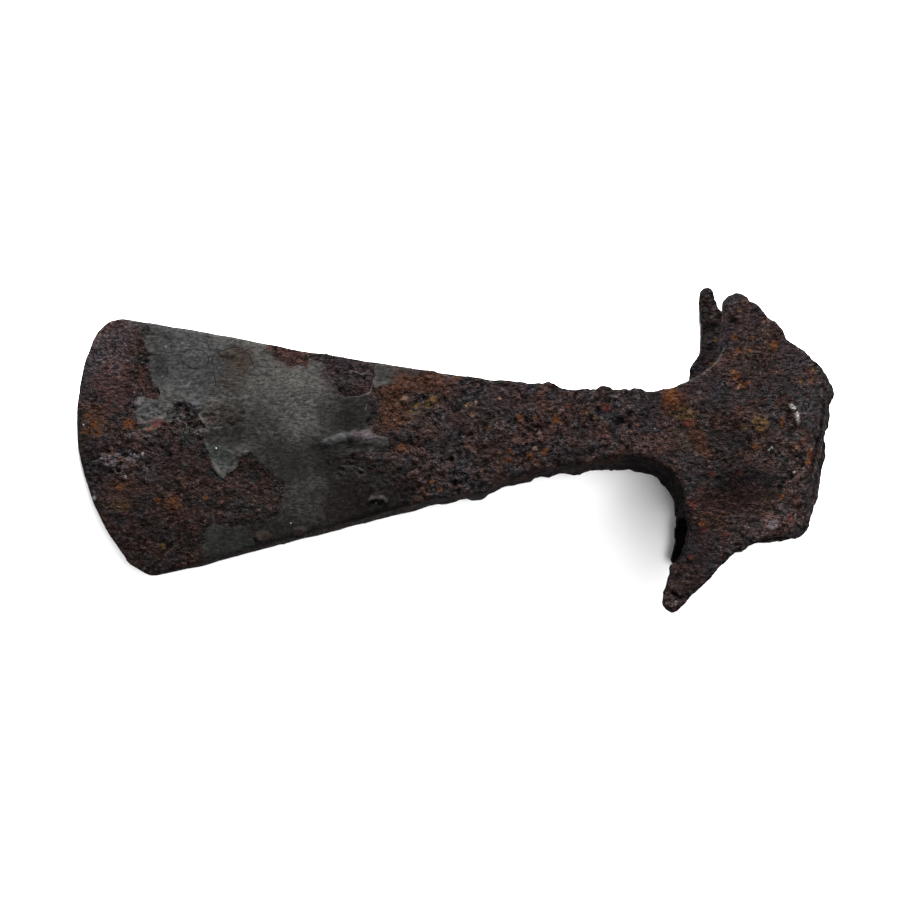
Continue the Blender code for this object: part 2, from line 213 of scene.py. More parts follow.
# Soft areas of colour, each laid over those before it: colour, share, x, y, half length, half width and
# turn in degrees.
WASHES = [
    # Broad areas of the bit and the blade
    ("dark brown", 0.6, -147.0, -48.0, 26.0, 17.0, 15.0),
    ("dark brown", 0.45, -122.0, -34.0, 16.0, 9.0, 0.0),
    ("slate", 0.5, -148.0, -33.0, 9.0, 4.0, 5.0),
    ("purple", 0.5, -166.0, -7.0, 7.0, 13.0, -15.0),
    ("slate", 0.65, -169.5, -8.0, 3.5, 13.0, -15.0),
    ("red brown", 0.5, -161.0, -12.0, 6.0, 5.0, 0.0),
    ("low grey", 0.85, -104.0, -37.0, 24.0, 11.0, 22.0),
    ("low grey", 0.7, -103.0, -19.0, 9.0, 6.0, 20.0),
    ("low grey", 0.45, -118.0, -30.0, 12.0, 12.0, 0.0),
    ("dark brown", 0.8, -94.0, -31.0, 13.0, 9.0, 15.0),
    ("dark brown", 0.75, -99.0, -24.5, 10.0, 6.0, 5.0),
    ("green grey", 0.6, -126.0, -47.0, 9.0, 5.0, 10.0),
    ("teal", 0.55, -133.5, -24.5, 5.0, 3.5, -20.0),
    # The skin's upper part
    ("bluish", 0.5, -146.0, -3.0, 12.0, 10.0, -15.0),
    ("bluish", 0.35, -150.0, 2.5, 20.0, 4.0, -15.0),
    ("slate", 0.45, -146.0, -6.0, 9.0, 5.0, 0.0),
    ("skin grey", 0.5, -154.0, -0.6, 3.5, 2.8, 0.0),
    ("umber", 0.7, -133.2, -1.2, 5.2, 3.6, 0.0),
    ("umber", 0.35, -133.4, -6.5, 4.5, 4.0, 0.0),
    ("dark brown", 0.6, -132.5, -20.0, 5.5, 4.5, 0.0),
    ("umber", 0.4, -134.0, -15.0, 7.0, 4.0, 0.0),
    ("bluish", 0.6, -141.1, -12.6, 3.5, 2.2, 0.0),
    # The torn edge of the skin in the middle of the blade
    ("dark", 0.4, -144.0, -16.0, 4.0, 2.0, -10.0),
    ("teal", 0.6, -141.5, -22.5, 5.0, 2.6, 0.0),
    ("bluish", 0.7, -142.0, -14.0, 3.4, 2.2, -20.0),
    ("flake grey", 0.6, -147.2, -18.5, 1.8, 1.2, 20.0),
    ("flake grey", 0.6, -144.4, -17.4, 1.6, 1.1, 10.0),
    ("flake grey", 0.7, -138.8, -20.9, 1.5, 1.2, 0.0),
    ("flake grey", 0.5, -141.1, -20.2, 1.8, 0.7, -20.0),
    ("black", 0.7, -137.4, -21.4, 1.0, 1.2, 0.0),
    ("black", 0.5, -140.0, -18.6, 3.0, 1.0, -15.0),
    ("pink", 0.4, -136.8, -17.1, 2.2, 0.8, 35.0),
    ("flake grey", 0.55, -131.2, -28.3, 3.0, 2.2, -50.0),
    # Stains and crusts on the bit
    ("rust orange", 0.55, -165.9, -23.6, 4.5, 4.0, 10.0),
    ("ochre", 0.25, -165.9, -24.4, 3.6, 3.0, 10.0),
    ("rust orange", 0.5, -166.3, -19.0, 3.6, 1.6, 10.0),
    ("rust orange", 0.6, -157.0, -21.5, 3.2, 2.4, 0.0),
    ("rust orange", 0.5, -155.0, -38.5, 6.0, 3.0, -10.0),
    ("rust orange", 0.9, -141.7, -39.0, 2.8, 2.4, 0.0),
    ("pink", 0.7, -143.2, -37.4, 1.6, 0.9, 0.0),
    ("purple", 0.7, -163.0, -27.2, 3.4, 2.6, 30.0),
    ("black", 0.6, -161.3, -29.0, 1.3, 1.2, 0.0),
    ("black", 0.6, -152.6, -26.4, 1.6, 1.6, 0.0),
    ("dark", 0.6, -148.5, -28.3, 4.5, 1.0, 22.0),
    ("dark brown", 0.7, -158.9, -34.7, 4.0, 2.0, 10.0),
    ("lavender", 0.8, -160.7, -31.6, 4.0, 1.8, 10.0),
    ("lavender", 0.8, -154.0, -29.8, 2.8, 1.3, 10.0),
    ("pink", 0.5, -157.1, -41.0, 4.0, 1.6, 10.0),
    ("ochre", 0.5, -154.9, -42.3, 3.4, 1.8, 10.0),
    ("bluish", 0.6, -153.0, -17.5, 4.0, 3.0, 10.0),
    ("lavender", 0.6, -153.8, -20.4, 1.6, 1.2, 0.0),
    ("lavender", 0.5, -151.7, -23.2, 2.4, 1.4, 10.0),
    ("pink", 0.9, -149.8, -19.7, 2.8, 1.2, 5.0),
    ("red", 0.6, -149.3, -20.4, 2.2, 1.0, 5.0),
    ("purple", 0.5, -147.5, -27.0, 6.0, 4.0, 0.0),
    # The blade's narrow end
    ("low grey", 0.7, -93.0, 4.0, 7.5, 5.0, 0.0),
    ("purple", 0.95, -104.5, -0.5, 8.0, 6.5, 0.0),
    ("slate", 0.5, -104.5, -2.0, 4.0, 3.0, 0.0),
    ("red brown", 0.7, -120.0, 2.5, 6.0, 4.0, -5.0),
    ("red brown", 0.4, -90.0, 2.5, 6.0, 4.0, 10.0),
    ("dark brown", 0.45, -102.5, -12.0, 4.5, 3.0, 0.0),
    ("low grey", 0.75, -99.5, -9.5, 6.5, 6.0, 0.0),
    # Painted shadow in the hollow under the ridge, then grey flake with a painted highlight on the ridge's
    # top.
    ("dark", 0.6, -97.2, -17.5, 5.0, 0.9, 6.0),
    ("flake grey", 1.0, -104.4, -16.5, 4.6, 1.5, 24.0),
    ("painted glint", 0.35, -103.6, -16.0, 3.4, 0.9, 24.0),
    ("lavender", 0.75, -98.4, -14.7, 3.8, 1.5, 5.0),
    ("rust orange", 0.95, -91.5, -6.0, 4.6, 7.5, 5.0),
    ("rust orange", 0.95, -86.0, 0.8, 7.5, 3.6, 15.0),
    ("umber", 0.6, -85.5, -7.5, 4.0, 2.6, 30.0),
    # The neck
    ("slate", 0.35, -73.0, -6.0, 8.0, 5.0, 15.0),
    ("slate", 0.35, -78.0, -16.0, 8.0, 5.0, 10.0),
    ("slate", 0.5, -90.8, -25.2, 4.0, 2.4, 10.0),
    ("purple", 0.5, -62.0, 1.0, 8.0, 4.5, 0.0),
    ("brown", 0.5, -66.0, -13.0, 7.0, 5.0, 0.0),
    ("slate", 0.45, -47.0, -8.0, 7.0, 6.0, 0.0),
    ("purple", 0.55, -31.0, 1.0, 8.0, 6.0, 0.0),
    ("pink", 0.35, -28.4, -7.6, 5.0, 3.5, 0.0),
    # Broad areas of the eye
    ("slate", 0.8, -13.7, 7.1, 6.5, 4.5, 0.0),
    ("slate", 0.8, -11.2, -2.5, 7.0, 3.4, 10.0),
    ("purple", 0.8, -12.0, 26.0, 6.0, 8.0, -10.0),
    ("slate", 0.7, -3.0, 13.0, 7.0, 4.5, -20.0),
    ("purple", 0.7, -20.0, 10.5, 7.0, 3.5, 20.0),
    ("purple", 0.7, 2.0, 20.0, 5.0, 7.0, 20.0),
    ("slate", 0.6, 11.0, 6.0, 4.0, 9.0, 5.0),
    ("purple", 0.6, -4.0, -9.0, 7.0, 3.4, 10.0),
    ("red brown", 0.8, -8.0, -16.5, 8.0, 5.0, 10.0),
    ("purple", 0.7, -15.0, -30.0, 5.0, 7.0, 10.0),
    ("slate", 0.6, -17.0, -11.0, 4.0, 3.0, 0.0),
    ("slate", 0.6, -22.0, -8.0, 5.0, 2.5, 10.0),
    ("red brown", 0.5, -8.5, 1.0, 4.0, 4.0, 0.0),
    ("brown", 0.4, -6.0, 21.0, 8.0, 9.0, -20.0),
    ("red brown", 1.0, -26.5, 17.5, 4.5, 12.0, 0.0),
    ("dark", 0.3, -26.5, 15.5, 4.0, 8.0, 0.0),
    ("slate", 0.5, 4.0, 13.0, 4.0, 6.0, 10.0),
    ("slate", 0.55, 4.3, -8.7, 2.6, 6.0, 5.0),
    ("slate", 0.5, 5.3, -16.7, 2.5, 3.0, 10.0),
    ("dark brown", 0.4, -6.0, -13.9, 8.0, 5.0, 10.0),
    ("dark brown", 0.4, -14.0, -27.0, 6.0, 9.0, 0.0),
    # Stains on the eye
    ("umber", 0.7, -21.2, -4.1, 4.0, 3.2, 10.0),
    ("rust orange", 1.0, -24.3, 5.5, 4.0, 3.8, 10.0),
    ("bright orange", 0.9, -24.6, 6.4, 2.2, 2.2, 10.0),
    ("olive", 0.9, -21.2, 2.2, 3.2, 2.8, -30.0),
    ("bright orange", 0.8, -20.1, 0.4, 1.6, 1.2, 10.0),
    ("rust orange", 1.0, -17.0, -4.0, 5.0, 2.4, -55.0),
    ("bright orange", 0.5, -15.2, -6.4, 0.9, 1.3, 10.0),
    ("bright orange", 0.75, -11.0, 13.9, 0.9, 1.6, 10.0),
    ("orange", 0.7, -9.1, 11.7, 1.4, 1.0, 10.0),
    ("orange", 0.6, -4.0, -2.7, 1.4, 1.0, -20.0),
    ("bright orange", 0.6, 1.5, 4.3, 0.5, 1.2, 10.0),
    ("orange", 0.7, 4.0, -13.8, 0.6, 1.1, 10.0),
    ("bright orange", 0.6, 10.1, -2.6, 1.0, 2.0, 5.0),
    ("bright orange", 0.6, 4.7, 15.1, 0.6, 0.8, 10.0),
    ("bright orange", 0.6, 6.7, 17.8, 0.5, 1.0, 10.0),
    ("red", 0.8, -16.5, -19.1, 1.3, 1.4, 10.0),
    ("ochre", 0.75, -3.5, 2.9, 2.1, 1.9, 0.0),
    ("ochre", 0.6, -7.0, 1.2, 1.3, 0.9, 20.0),
    ("pink", 0.75, 2.0, -21.8, 1.6, 1.5, 0.0),
    # Painted shade in small hollows, cracks and a pit, painted highlights on two raised plates, and two
    # knobs at the blade's lower edge
    ("black", 0.7, -0.3, -3.1, 1.5, 2.2, 10.0),
    ("black", 0.8, -45.1, -11.0, 4.0, 1.4, 0.0),
    ("black", 1.0, 2.8, 6.2, 0.8, 2.6, 12.0),
    ("painted glint", 0.9, 3.4, 8.5, 1.4, 0.7, -35.0),
    ("painted glint", 1.0, 5.1, 6.0, 0.8, 1.7, 12.0),
    ("black", 0.9, 16.8, 10.2, 1.2, 2.8, 0.0),
    ("black", 1.0, -91.4, -31.2, 2.8, 2.0, 10.0),
    ("pink", 0.5, -117.9, -43.9, 2.4, 1.5, 10.0),
    ("pink", 0.4, -109.3, -41.1, 2.0, 1.2, 20.0),
]

# Areas that look lighter or darker all over: how many times, x, y, half length, half width and turn.
TONES = [
    (1.3, -166.0, -1.5, 11.0, 15.0, 0.0), (0.85, -169.5, -26.0, 6.0, 7.0, 0.0),
    (0.8, -155.5, -2.0, 8.0, 11.0, 0.0), (0.8, -166.0, -34.0, 8.0, 7.0, 0.0),
    (0.87, -150.0, -47.0, 20.0, 14.0, 10.0), (0.9, -138.5, -27.0, 10.0, 9.0, 0.0),
    (0.82, -129.0, -27.0, 6.0, 5.0, 0.0), (0.85, -135.5, -4.0, 8.0, 9.0, 0.0),
    (0.7, -127.0, -17.0, 13.0, 7.5, 5.0), (0.65, -112.0, -23.0, 18.0, 8.5, 10.0),
    (0.65, -104.0, -11.0, 9.0, 10.0, 0.0), (0.68, -118.0, -45.0, 24.0, 9.0, 15.0),
    (0.67, -94.0, -30.0, 16.0, 11.0, 15.0), (1.12, -116.9, -0.9, 7.0, 6.0, 0.0),
    (0.95, -62.0, -16.0, 22.0, 7.0, 8.0), (1.2, 10.0, 0.0, 8.0, 32.0, 5.0),
    (0.85, -12.0, -1.0, 10.0, 8.0, 0.0), (0.72, -7.0, -13.0, 11.0, 9.0, 0.0),
    (1.22, 3.0, -21.0, 9.0, 7.0, 0.0), (0.92, -13.0, -21.0, 8.0, 8.0, 0.0),
    (0.92, -16.0, -36.0, 7.0, 12.0, 0.0), (0.94, -27.0, 5.0, 9.0, 8.0, 0.0),
    # On the next three lines, both 1.05 areas are a painted highlight on the ridge's top, the 0.7 area is
    # painted shadow in the hollow under it, and the 0.3 area is painted shadow at the eye's lower end.
    (1.05, -104.0, -16.0, 6.5, 2.2, 20.0), (1.05, -97.5, -14.6, 4.0, 1.6, 5.0),
    (0.7, -96.0, -17.2, 7.0, 0.7, 14.0), (1.4, -26.5, 17.5, 5.0, 12.0, 0.0),
    (0.75, -92.8, -16.1, 3.5, 2.2, 5.0), (0.3, 4.9, -24.7, 8.5, 1.7, 19.0),
]

# Small crisp spots on the near cheek: x, y and radius. The pale grey and white ones are painted glints.
SPOTS = {
    "orange": [
        (-165.6, -23.2, 0.9), (-167.9, -21.0, 0.6), (-163.9, -25.3, 0.7), (-167.6, -25.4, 0.6),
        (-157.0, -21.5, 1.1), (-142.2, -38.6, 0.8), (-140.9, -39.7, 0.6), (-151.4, -22.2, 0.7),
        (-134.1, -36.7, 0.6), (-145.9, -39.2, 0.7), (-155.8, -37.6, 0.8), (-60.4, -4.1, 0.8),
        (-51.6, -3.2, 0.9), (-56.5, -12.9, 0.8), (-61.6, -15.0, 0.7), (-61.7, -12.7, 0.6),
        (-53.0, -11.5, 0.8), (-88.0, -16.1, 0.8), (-68.0, -7.9, 0.6), (-56.8, -3.5, 0.5),
        (-76.8, -25.1, 0.6), (-79.1, -23.5, 0.5), (-77.3, 3.4, 0.5), (-25.7, 10.9, 1.0),
        (-25.0, 8.4, 0.8), (-25.1, 6.5, 0.7), (-23.0, 4.1, 0.6), (-12.5, 23.1, 0.7), (-8.2, 23.5, 0.5),
        (-8.4, 20.5, 0.6), (-11.3, 19.9, 0.5), (-2.9, 22.7, 1.0), (-10.7, 13.5, 0.6), (-7.6, 12.5, 0.5),
        (-9.1, 11.3, 0.6), (1.6, 4.7, 0.5), (1.7, 3.2, 0.4), (-3.7, -2.7, 0.6), (9.6, -1.8, 0.7),
        (9.4, -4.2, 0.6), (4.1, -13.9, 0.6), (-13.6, -23.2, 0.7),
    ],
    "ochre": [
        (-142.0, -50.2, 0.7), (-82.5, -3.1, 1.0), (-83.7, -4.6, 0.7), (-86.2, -5.0, 0.7),
        (-87.6, -7.1, 0.6), (-44.4, 0.0, 0.5), (-42.3, -0.9, 0.5), (-12.4, 29.8, 0.6), (7.0, 18.4, 0.6),
        (4.8, 14.9, 0.5), (-5.0, 3.1, 0.6), (-2.4, 3.6, 0.7), (-3.2, 1.4, 0.6),
    ],
    "tan": [
        (-72.2, -5.3, 0.6), (-73.9, -3.0, 0.5), (-71.8, -1.9, 0.4), (-55.5, -11.0, 0.5),
        (-89.5, -4.2, 0.8), (-80.2, 1.1, 0.4), (-66.1, 0.0, 0.4), (-55.0, -6.8, 0.5), (-9.8, 11.0, 0.4),
        (-20.2, 3.3, 0.5),
    ],
    "red": [
        (-49.3, 0.7, 0.5), (-40.0, 1.8, 0.9), (-20.5, 0.5, 0.8), (-13.0, -24.8, 0.7), (-8.0, -25.2, 0.6),
        (-15.0, -31.8, 0.6), (6.7, -18.1, 0.6), (7.1, -19.3, 0.5), (-6.3, -9.8, 0.6), (-13.1, -11.2, 0.6),
        (-150.2, -20.7, 0.8), (-16.2, -18.8, 0.8),
    ],
    "lavender": [
        (-160.8, -30.8, 0.6), (-158.8, -31.6, 0.7), (-155.9, -32.4, 0.6), (-158.2, -29.8, 0.4),
        (-155.2, -28.5, 0.4), (-126.4, -23.9, 0.5), (-155.7, -15.6, 0.8), (2.7, -21.1, 1.0),
        (-151.9, -0.5, 0.4), (-93.0, -29.6, 0.5), (-90.8, -29.3, 0.5), (-91.8, -30.8, 0.3),
        (-142.0, -15.2, 0.7),
    ],
    "painted glint": [
        (-161.8, -41.4, 0.5), (-155.2, -34.7, 0.4), (-27.4, -1.7, 0.3), (0.1, -2.5, 0.3),
        (-0.5, -3.1, 0.3), (6.0, -7.4, 0.3), (-16.9, -43.0, 0.4), (-152.0, -28.5, 0.4),
    ],
    "white": [
        (-168.5, -23.6, 0.25), (-133.8, -24.0, 0.2), (-111.6, -39.3, 0.2),
    ],
    "black": [
        (-145.5, -14.6, 0.8), (-141.6, -19.3, 0.7), (-68.5, -6.8, 0.5), (-13.5, 27.4, 0.8),
        (5.6, -8.6, 0.5), (3.2, -11.6, 0.5), (11.5, 2.0, 0.7), (-56.2, -10.2, 0.5), (-3.6, 2.5, 0.4),
    ],
}

# Wrinkled places on the near cheek: height, x, y, half length, half width and turn in degrees.
WRINKLES = [
    (0.9, -142.5, -18.0, 7.5, 6.5, 0.0), (0.7, -133.5, -14.5, 7.0, 4.5, -20.0),
    (0.7, -152.0, -20.0, 6.0, 5.0, 0.0), (0.9, -157.0, -31.5, 9.0, 4.0, 10.0),
    (0.5, -119.0, -17.5, 9.0, 3.0, 10.0), (0.4, -115.0, -10.5, 6.0, 6.0, 0.0),
    (0.6, -99.0, -24.0, 9.0, 4.5, 5.0), (0.6, -104.0, -1.5, 7.0, 5.0, 0.0),
    (0.4, -149.0, 2.0, 13.0, 4.5, -15.0), (0.5, -90.8, -25.2, 4.5, 3.0, 10.0),
    (0.5, -86.0, -7.5, 5.0, 3.5, 20.0), (0.5, -74.0, -15.0, 8.0, 5.0, 20.0),
]

# Raised places on the near cheek: height, x, y, half length, half width and turn in degrees.
BUMPS = [
    (0.35, -132.3, -26.6, 4.4, 3.6, -60.0), (0.5, -159.8, -31.3, 3.6, 1.7, 10.0),
    (0.5, -155.4, -32.0, 2.6, 2.0, 0.0), (0.3, -156.0, -25.0, 2.6, 1.1, 10.0),
    (0.4, -155.7, -15.6, 1.7, 1.3, 0.0), (0.4, -138.8, -20.9, 1.5, 1.1, 0.0),
    (0.4, -142.0, -14.0, 3.0, 1.6, -20.0), (0.35, -155.6, -2.4, 0.8, 0.7, 0.0),
    (0.35, -155.8, -4.4, 0.8, 0.7, 0.0), (0.3, -150.2, 0.3, 0.7, 0.7, 0.0),
    (0.1, -134.5, -4.5, 5.0, 7.0, 0.0), (0.12, -154.0, -0.6, 3.6, 2.8, 0.0),
    (0.3, -135.7, 0.0, 2.2, 0.8, 0.0), (0.05, -144.8, -2.8, 2.6, 2.6, 0.0),
    (0.8, -117.9, -43.9, 2.3, 1.6, 10.0), (0.9, -109.3, -41.1, 1.9, 1.4, 20.0),
    (0.25, -91.7, -30.6, 2.8, 2.5, 0.0), (0.5, -89.5, -4.2, 1.2, 0.8, 10.0),
    (0.5, -82.5, -3.1, 1.1, 1.4, 20.0), (0.35, -51.6, -3.2, 1.3, 1.0, 0.0),
    (0.4, -61.0, -14.0, 1.5, 1.5, 0.0), (0.45, -3.5, 2.5, 2.3, 2.1, 0.0),
    (0.35, 3.7, 7.5, 0.9, 1.6, 35.0), (0.3, 5.1, 5.4, 1.3, 1.6, 35.0), (0.45, 2.7, -21.1, 2.0, 1.4, 0.0),
    (0.45, 6.0, -7.4, 1.0, 0.8, 0.0), (0.4, 4.4, -10.0, 0.7, 2.0, 20.0),
    (0.4, -16.6, -20.0, 1.0, 1.4, 0.0), (0.35, -15.0, -31.8, 1.2, 1.0, 0.0),
]

# Knobs that stand out from the outline: height, x, y and radius. They reach through the head.
KNOBS = [
    (0.5, -44.5, -15.5, 2.6), (0.6, -40.0, -14.0, 1.6), (0.7, -67.0, -24.5, 3.2),
    (0.3, -74.0, -27.0, 3.0), (0.4, -54.0, 5.6, 2.8), (0.7, -40.9, 6.5, 2.2), (0.5, -33.0, 7.6, 2.0),
    (0.7, -21.2, 13.8, 2.0), (0.6, 13.0, 15.0, 2.2), (0.6, -20.0, -34.0, 1.8), (0.5, -12.2, 33.8, 2.4),
    (-0.5, -52.0, -17.5, 3.0), (-0.4, -60.0, -21.0, 2.6), (0.6, 17.0, 0.6, 1.6), (-0.7, 16.0, 5.0, 2.4),
    (0.5, -3.4, -26.6, 2.0),
]

# Ridges and hollows: height, half width and path.
RIDGES = [
    (0.6, 2.0, [(-107.3, -18.2), (-105.5, -17.0), (-102.7, -15.8), (-100.5, -15.2)]),
    (0.4, 1.9, [(-100.5, -15.2), (-98.5, -14.6), (-95.4, -14.6)]),
    (-0.25, 0.9, [(-101.0, -18.4), (-97.2, -17.4), (-93.5, -17.0)]),
    (-0.7, 2.0, [(-92.6, -31.5), (-90.6, -31.1)]),
    (0.4, 0.7, [(-127.9, -24.9), (-125.3, -23.3)]),
    (-0.5, 0.9, [(-150.6, -25.9), (-147.5, -26.3), (-145.0, -27.6)]),
    (-0.5, 0.8, [(14.6, 12.0), (14.2, 6.0), (14.6, 0.0), (13.4, -6.0), (12.4, -12.0)]),
    (-0.35, 0.6, [(11.6, 12.0), (11.9, 5.0), (11.2, -2.0), (10.4, -9.0)]),
    (-0.5, 0.8, [(-17.9, -41.0), (-15.4, -41.8)]),
]

# Dark cracks and pale veins on the near cheek: half width and path. One more crack is a closed ring.
CRACKS = [
    (0.16, [
        (-136.2, -9.3), (-137.1, -7.8), (-138.1, -5.7), (-139.1, -3.0), (-139.3, -1.3), (-138.0, 0.6),
        (-135.1, 2.0), (-132.9, 2.0), (-130.4, 0.7), (-128.7, -1.6),
    ]),
    (0.13, [(-150.3, -5.6), (-150.0, -7.0), (-150.4, -8.2), (-150.8, -9.4)]),
    (0.13, [(-154.9, -8.2), (-153.6, -10.6), (-151.4, -11.6)]),
    # Painted shadow just outside the flake's lower rim.
    (0.2, [(-134.9, -28.1), (-132.6, -30.4), (-130.7, -31.3), (-127.5, -28.4), (-126.9, -26.2)]),
    (0.6, [(1.7, 8.7), (2.9, 7.4), (3.9, 5.6), (4.3, 4.2), (5.0, 2.8)]),
    (0.3, [(-4.9, 2.5), (-2.3, 2.4)]),
    (0.6, [(6.0, -6.4), (4.6, -8.6), (3.0, -11.4), (3.4, -14.0)]),
    (0.6, [(15.4, 12.0), (15.0, 6.0), (15.4, 0.0), (14.2, -6.0), (13.2, -12.0)]),
    (0.4, [(12.0, 12.0), (12.3, 5.0), (11.6, -2.0), (10.8, -9.0)]),
]
VEINS = [
    # Painted highlight along the flake's curled lower rim.
    (0.45, [(-134.0, -27.6), (-132.2, -29.4), (-130.7, -30.2), (-128.5, -28.2), (-127.9, -26.6)]),
    (0.3, [(-127.6, -25.0), (-125.4, -23.4)]),
    (0.12, [(-104.5, -5.9), (-100.6, -5.2), (-98.1, -3.6), (-98.1, -1.8)]),
    (0.12, [(-102.1, -23.2), (-98.8, -22.7), (-95.7, -23.2)]),
    (0.15, [(-98.8, -7.0), (-98.9, -8.5)]),
    (0.2, [(-135.6, -19.1), (-133.4, -18.6)]),
    (0.15, [(-144.8, -18.7), (-143.0, -18.5), (-141.9, -20.2), (-141.3, -19.7)]),
    (0.14, [(-144.4, -9.8), (-143.7, -8.2)]),
    (0.14, [(-104.4, 1.0), (-101.5, 0.2), (-99.5, 1.8)]),
    (0.4, [(-93.8, -30.4), (-92.4, -29.4), (-90.6, -29.2), (-89.4, -30.0)]),
    (0.25, [(-19.8, -15.0), (-18.4, -19.5), (-17.4, -23.5)]),
    (0.2, [(-14.4, 20.4), (-15.4, 16.8), (-18.3, 13.1), (-21.5, 10.9), (-26.7, 8.5)]),
]
RING_WIDTH = 0.17
RING_MIDDLE = (-143.9, -2.4)
RING_RADII = (3.5, 2.5)
RING_POINTS = 20
LINE_REACH = 1.5


def head_frame():
    """The matrix from the head's own frame, in millimetres, to the row's, in metres."""
    seat = next(mount for mount in frame["record"]["mounts"] if mount["name"] == SEAT)
    axis = Vector(seat["axis"])
    pitch = math.atan2(axis.z, axis.x)
    forward, aside = SEAT_FROM_MIDDLE
    middle = Vector(seat["pos_m"]) + axis * forward * MM + Vector((0.0, aside * MM, 0.0))
    return Matrix.Translation(middle) @ Matrix.Rotation(-pitch, 4, "Y") @ Matrix.Scale(MM, 4)


HEAD = head_frame()


# Noise, worked out for many points at once. The large odd numbers scatter its cells without a pattern.
CELL_FACTORS = (73856093, 19349663, 83492791)
SEED_FACTOR = 40503
SEED_START = 977
MIXERS = ((15, 2246822519), (13, 3266489917))
TEN_BITS = 1023
NOISE_GAIN = 1.8


def scattered(cell, seed):
    """Three numbers from 0 to 1 for each whole-numbered cell."""
    key = cell.astype(np.uint32) * np.array(CELL_FACTORS, np.uint32)
    mixed = key[:, 0] ^ key[:, 1] ^ key[:, 2] ^ np.uint32(seed * SEED_FACTOR + SEED_START)
    for shift, factor in MIXERS * 2:
        mixed = (mixed ^ (mixed >> np.uint32(shift))) * np.uint32(factor)
    parts = [mixed >> np.uint32(shift) & np.uint32(TEN_BITS) for shift in (1, 11, 21)]
    return np.stack(parts, axis=1) / TEN_BITS


def noise(points, size, seed):
    """Smooth noise, about -1 to 1, with features about size apart."""
    place = points / size
    cell = np.floor(place).astype(np.int64)
    offset = place - cell
    fade = offset**3 * (offset * (offset * 6 - 15) + 10)
    total = np.zeros(len(points))
    for corner in itertools.product((0, 1), repeat=3):
        corner = np.array(corner)
        slope = scattered(cell + corner, seed) * 2 - 1
        share = np.where(corner, fade, 1 - fade).prod(axis=1)
        total += share * (slope * (offset - corner)).sum(axis=1)
    return total * NOISE_GAIN


def layered(points, size, seed, layers=3, gain=0.5):
    """Noise with finer and weaker layers of itself added."""
    return sum(noise(points, size / 2**k, seed + 31 * k) * gain**k for k in range(layers))


def cells(points, size, seed):
    """Distance to the nearest scattered point, in cell sizes, and that point's own number from 0 to 1."""
    place = points / size
    cell = np.floor(place).astype(np.int64)
    nearest = np.full(len(points), 9.0)
    own = np.zeros(len(points))
    for step in itertools.product((-1, 0, 1), repeat=3):
        neighbour = cell + np.array(step)
        random = scattered(neighbour, seed)
        distance = np.linalg.norm(neighbour + random - place, axis=1)
        closer = distance < nearest
        nearest = np.where(closer, distance, nearest)
        own = np.where(closer, (random[:, 0] * 7.3 + random[:, 1] * 3.1) % 1.0, own)
    return nearest, own


# Shapes on the surface


def rise(value, low, high):
    """0 up to low, 1 from high, and smooth between them."""
    t = np.clip((value - low) / (high - low), 0.0, 1.0)
    return t * t * (3 - 2 * t)


def ring():
    """The closed round crack near the blade's upper edge."""
    (x, y), (along, across) = RING_MIDDLE, RING_RADII
    turns = [2 * math.pi * k / RING_POINTS for k in range(RING_POINTS + 1)]
    return [(x + along * math.cos(turn), y + across * math.sin(turn)) for turn in turns]


def beside(points, lines):
    """How many half widths a point lies left or right of the nearest line, and 1 where it runs past it."""
    nearest, ratio, mask = np.full(len(points), 99.0), np.full(len(points), 9.0), np.zeros(len(points))
    for width, path in lines:
        for k, (a, b) in enumerate(zip(path, path[1:])):
            a, along = np.array(a), np.array(b) - np.array(a)
            share = ((points - a) @ along) / (along @ along)
            offset = points - a - np.clip(share, 0.0, 1.0)[:, None] * along
            distance = np.linalg.norm(offset, axis=1)
            side = np.sign(along[0] * offset[:, 1] - along[1] * offset[:, 0])
            past_end = ((k == 0) & (share < 0)) | ((k == len(path) - 2) & (share > 1))
            closer = distance < nearest
            nearest = np.where(closer, distance, nearest)
            ratio = np.where(closer, side * distance / width, ratio)
            mask = np.where(closer, ~past_end & (distance < LINE_REACH), mask)
    return ratio, mask


def from_segment(points, a, b):
    """Distance of points in X and Y from the segment a to b."""
    a, along = np.array(a), np.array(b) - np.array(a)
    share = np.clip(((points - a) @ along) / (along @ along), 0.0, 1.0)
    return np.linalg.norm(points - a - share[:, None] * along, axis=1)


def from_path(points, path):
    return np.min([from_segment(points, a, b) for a, b in zip(path, path[1:])], axis=0)


def depth_inside(points, outline):
    """Distance of points in X and Y from a closed outline, positive inside it."""
    closed = outline + outline[:1]
    odd = np.zeros(len(points), bool)
    for (ax, ay), (bx, by) in zip(closed, closed[1:]):
        spans = (ay > points[:, 1]) != (by > points[:, 1])
        crossing = ax + (points[:, 1] - ay) * (bx - ax) / (by - ay if by != ay else 1.0)
        odd ^= spans & (points[:, 0] < crossing)
    return np.where(odd, 1, -1) * from_path(points, closed)


def blob(points, x, y, length, width, angle=0.0):
    """1 in the middle of an ellipse in X and Y, 0 from its rim outwards."""
    turn = math.radians(angle)
    dx, dy = points[:, 0] - x, points[:, 1] - y
    along = (dx * math.cos(turn) + dy * math.sin(turn)) / length
    across = (dy * math.cos(turn) - dx * math.sin(turn)) / width
    return np.clip(1 - along**2 - across**2, 0.0, 1.0)


# Mesh


def baked(item):
    """Replaces an object's mesh by what its modifiers make of it."""
    bpy.context.view_layer.update()
    mesh = bpy.data.meshes.new_from_object(item.evaluated_get(bpy.context.evaluated_depsgraph_get()))
    item.modifiers.clear()
    item.data = mesh
    mesh.name = item.name


